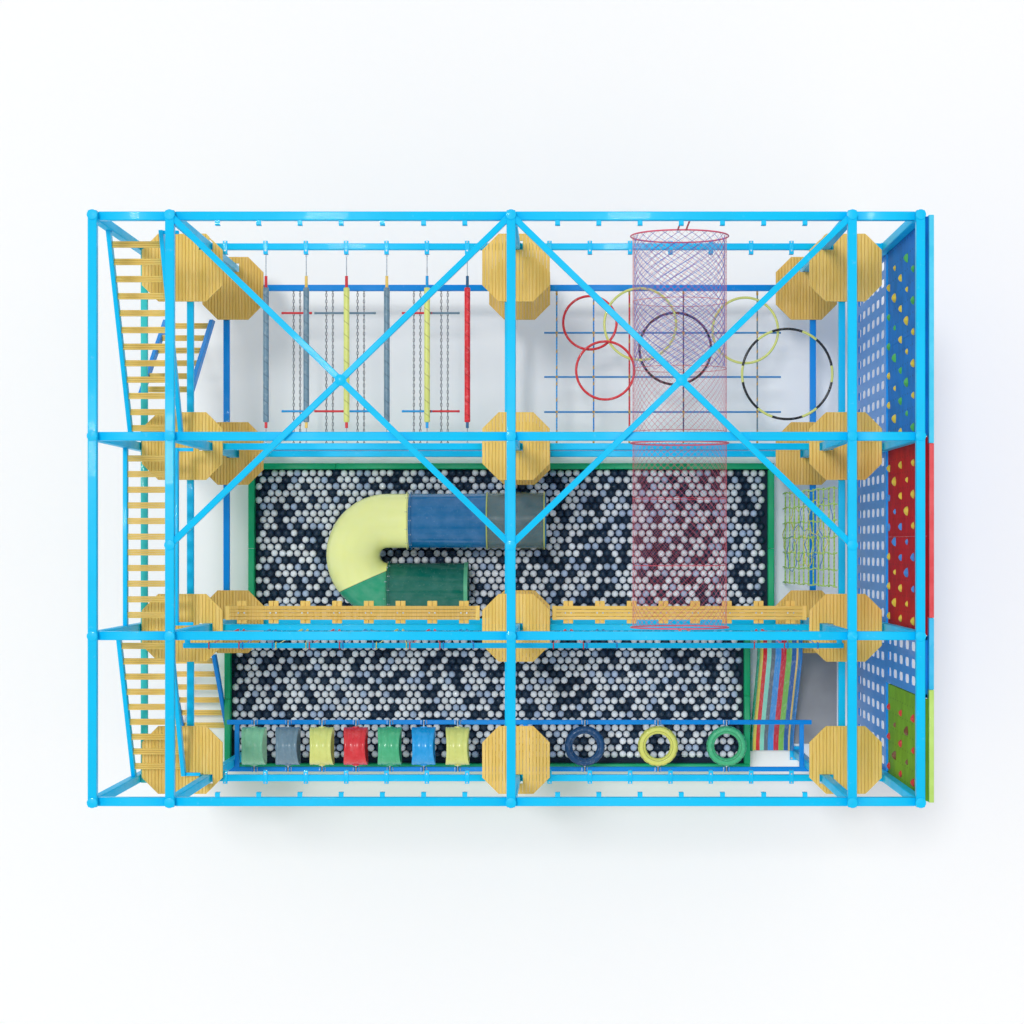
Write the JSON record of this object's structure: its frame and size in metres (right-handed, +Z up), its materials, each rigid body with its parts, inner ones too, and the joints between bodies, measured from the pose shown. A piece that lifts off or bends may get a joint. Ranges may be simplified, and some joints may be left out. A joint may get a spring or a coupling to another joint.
{
  "type": "climbing frame",
  "caption": "Indoor climbing frame of steel posts and rails with platforms, stairs, nets, crawl drums, swing rings, a tube slide, a striped slide, a ball pit and a climbing wall.",
  "frame": {"origin": "on the floor, under the middle of the bounding box", "axes": "+X along the long side toward the climbing wall, +Y toward the side with the rollers and chains, +Z up"},
  "size_m": [9.46, 6.82, 6.264],
  "materials": {
    "frame_blue": "gloss powder coat, bright blue",
    "beam_teal": "gloss powder coat, teal",
    "beam_deep_blue": "gloss powder coat, deep blue",
    "timber": "grooved ochre decking boards, satin",
    "wall_blue": "textured climbing panel, blue",
    "wall_red": "textured climbing panel, red",
    "wall_green": "textured climbing panel, green",
    "wall_perforated": "slotted panel, blue",
    "trim": "coloured edge strip",
    "pit_padding": "coated pit wall boards, green",
    "mat_foam": "foam floor mat, grey",
    "balls": "loose plastic balls, white and navy",
    "slide_navy": "moulded slide tube, navy",
    "slide_lime": "moulded slide bend, yellow-green",
    "slide_green": "moulded slide tube, green",
    "slide_olive": "moulded collar, olive",
    "chute_plastic": "moulded slide with coloured lengthwise bands",
    "chain_steel": "dark galvanised chain",
    "ropes": "braided rope in several colours",
    "hoop_black": "tube hoop, black",
    "tunnel_net": "knotless netting, pink-red",
    "web_net": "scramble net, yellow-green",
    "roller_grey_blue": "padded roller, grey-blue",
    "roller_lime": "padded roller, yellow-green",
    "roller_red": "padded roller, red",
    "barrel_green": "moulded drum, green",
    "barrel_grey_blue": "moulded drum, grey-blue",
    "barrel_lime": "moulded drum, yellow-green",
    "barrel_red": "moulded drum, red",
    "barrel_blue": "moulded drum, blue",
    "tyre_navy": "padded ring, navy",
    "tyre_yellow": "padded ring, yellow",
    "tyre_green": "padded ring, green"
  },
  "bodies": {
    "frame": {"row_frame_back": "frame_blue", "row_frame_second": "frame_blue", "row_frame_third": "frame_blue", "row_frame_front": "frame_blue", "roof_grid": "frame_blue", "cross_rail_left": "frame_blue", "cross_rail_right": "frame_blue", "bridge_handrail": "frame_blue", "slide_supports": "frame_blue", "aisle_edge_beam": "beam_teal", "swing_carriers": "beam_deep_blue", "upper_deck_left": "timber", "upper_deck_middle": "timber", "upper_deck_right": "timber", "lower_deck_left": "timber", "lower_deck_middle": "timber", "lower_deck_right": "timber", "upper_stair_1": "timber", "upper_stair_2": "timber", "upper_stair_3": "timber", "deck_stair": "timber", "floor_stair": "timber", "beam_bridge_left": "timber", "beam_bridge_right": "timber", "wall_panel_blue": "wall_blue", "wall_panel_red": "wall_red", "wall_panel_green": "wall_green", "perforated_panels": "wall_perforated", "wall_trim": "trim", "pit_walls": "pit_padding", "pit_mat": "mat_foam", "aisle_mat": "mat_foam", "ball_fill": "balls", "slide_straight": "slide_navy", "slide_bend": "slide_lime", "slide_exit": "slide_green", "slide_collar": "slide_olive", "striped_slide": "chute_plastic", "chain_walk": "chain_steel", "rope_grid": "ropes", "large_hoop": "hoop_black", "net_tunnel": "tunnel_net", "web_net": "web_net"},
    "roller_1": {"roller_1": "roller_grey_blue"},
    "roller_2": {"roller_2": "roller_grey_blue"},
    "roller_3": {"roller_3": "roller_lime"},
    "roller_4": {"roller_4": "roller_grey_blue"},
    "roller_5": {"roller_5": "roller_lime"},
    "roller_6": {"roller_6": "roller_red"},
    "barrel_1": {"barrel_1": "barrel_green"},
    "barrel_2": {"barrel_2": "barrel_grey_blue"},
    "barrel_3": {"barrel_3": "barrel_lime"},
    "barrel_4": {"barrel_4": "barrel_red"},
    "barrel_5": {"barrel_5": "barrel_green"},
    "barrel_6": {"barrel_6": "barrel_blue"},
    "barrel_7": {"barrel_7": "barrel_lime"},
    "tyre_1": {"tyre_1": "tyre_navy"},
    "tyre_2": {"tyre_2": "tyre_yellow"},
    "tyre_3": {"tyre_3": "tyre_green"}
  },
  "joints": [
    {"name": "roller_1_spin", "type": "hinge", "parent": "frame", "child": "roller_1", "pos_m": [-2.995, 1.915, 3.4395], "axis": [0, 1, 0], "continuous": true},
    {"name": "roller_2_spin", "type": "hinge", "parent": "frame", "child": "roller_2", "pos_m": [-2.505, 1.915, 3.4395], "axis": [0, 1, 0], "continuous": true},
    {"name": "roller_3_spin", "type": "hinge", "parent": "frame", "child": "roller_3", "pos_m": [-2.015, 1.915, 3.4395], "axis": [0, 1, 0], "continuous": true},
    {"name": "roller_4_spin", "type": "hinge", "parent": "frame", "child": "roller_4", "pos_m": [-1.525, 1.915, 3.4395], "axis": [0, 1, 0], "continuous": true},
    {"name": "roller_5_spin", "type": "hinge", "parent": "frame", "child": "roller_5", "pos_m": [-1.035, 1.915, 3.4395], "axis": [0, 1, 0], "continuous": true},
    {"name": "roller_6_spin", "type": "hinge", "parent": "frame", "child": "roller_6", "pos_m": [-0.545, 1.915, 3.4395], "axis": [0, 1, 0], "continuous": true},
    {"name": "barrel_1_swing", "type": "hinge", "parent": "frame", "child": "barrel_1", "pos_m": [-3.39, -3.0055, 1.516], "axis": [0, 1, 0], "range_deg": [-12, 12]},
    {"name": "barrel_2_swing", "type": "hinge", "parent": "frame", "child": "barrel_2", "pos_m": [-2.95, -3.0055, 1.516], "axis": [0, 1, 0], "range_deg": [-12, 12]},
    {"name": "barrel_3_swing", "type": "hinge", "parent": "frame", "child": "barrel_3", "pos_m": [-2.51, -3.0055, 1.516], "axis": [0, 1, 0], "range_deg": [-12, 12]},
    {"name": "barrel_4_swing", "type": "hinge", "parent": "frame", "child": "barrel_4", "pos_m": [-2.07, -3.0055, 1.516], "axis": [0, 1, 0], "range_deg": [-12, 12]},
    {"name": "barrel_5_swing", "type": "hinge", "parent": "frame", "child": "barrel_5", "pos_m": [-1.63, -3.0055, 1.516], "axis": [0, 1, 0], "range_deg": [-12, 12]},
    {"name": "barrel_6_swing", "type": "hinge", "parent": "frame", "child": "barrel_6", "pos_m": [-1.19, -3.0055, 1.516], "axis": [0, 1, 0], "range_deg": [-12, 12]},
    {"name": "barrel_7_swing", "type": "hinge", "parent": "frame", "child": "barrel_7", "pos_m": [-0.75, -3.0055, 1.516], "axis": [0, 1, 0], "range_deg": [-12, 12]},
    {"name": "tyre_1_swing", "type": "hinge", "parent": "frame", "child": "tyre_1", "pos_m": [0.9, -3.0055, 1.516], "axis": [0, 1, 0], "range_deg": [-15, 15]},
    {"name": "tyre_2_swing", "type": "hinge", "parent": "frame", "child": "tyre_2", "pos_m": [1.85, -3.0055, 1.516], "axis": [0, 1, 0], "range_deg": [-15, 15]},
    {"name": "tyre_3_swing", "type": "hinge", "parent": "frame", "child": "tyre_3", "pos_m": [2.74, -3.0055, 1.516], "axis": [0, 1, 0], "range_deg": [-15, 15]}
  ]
}
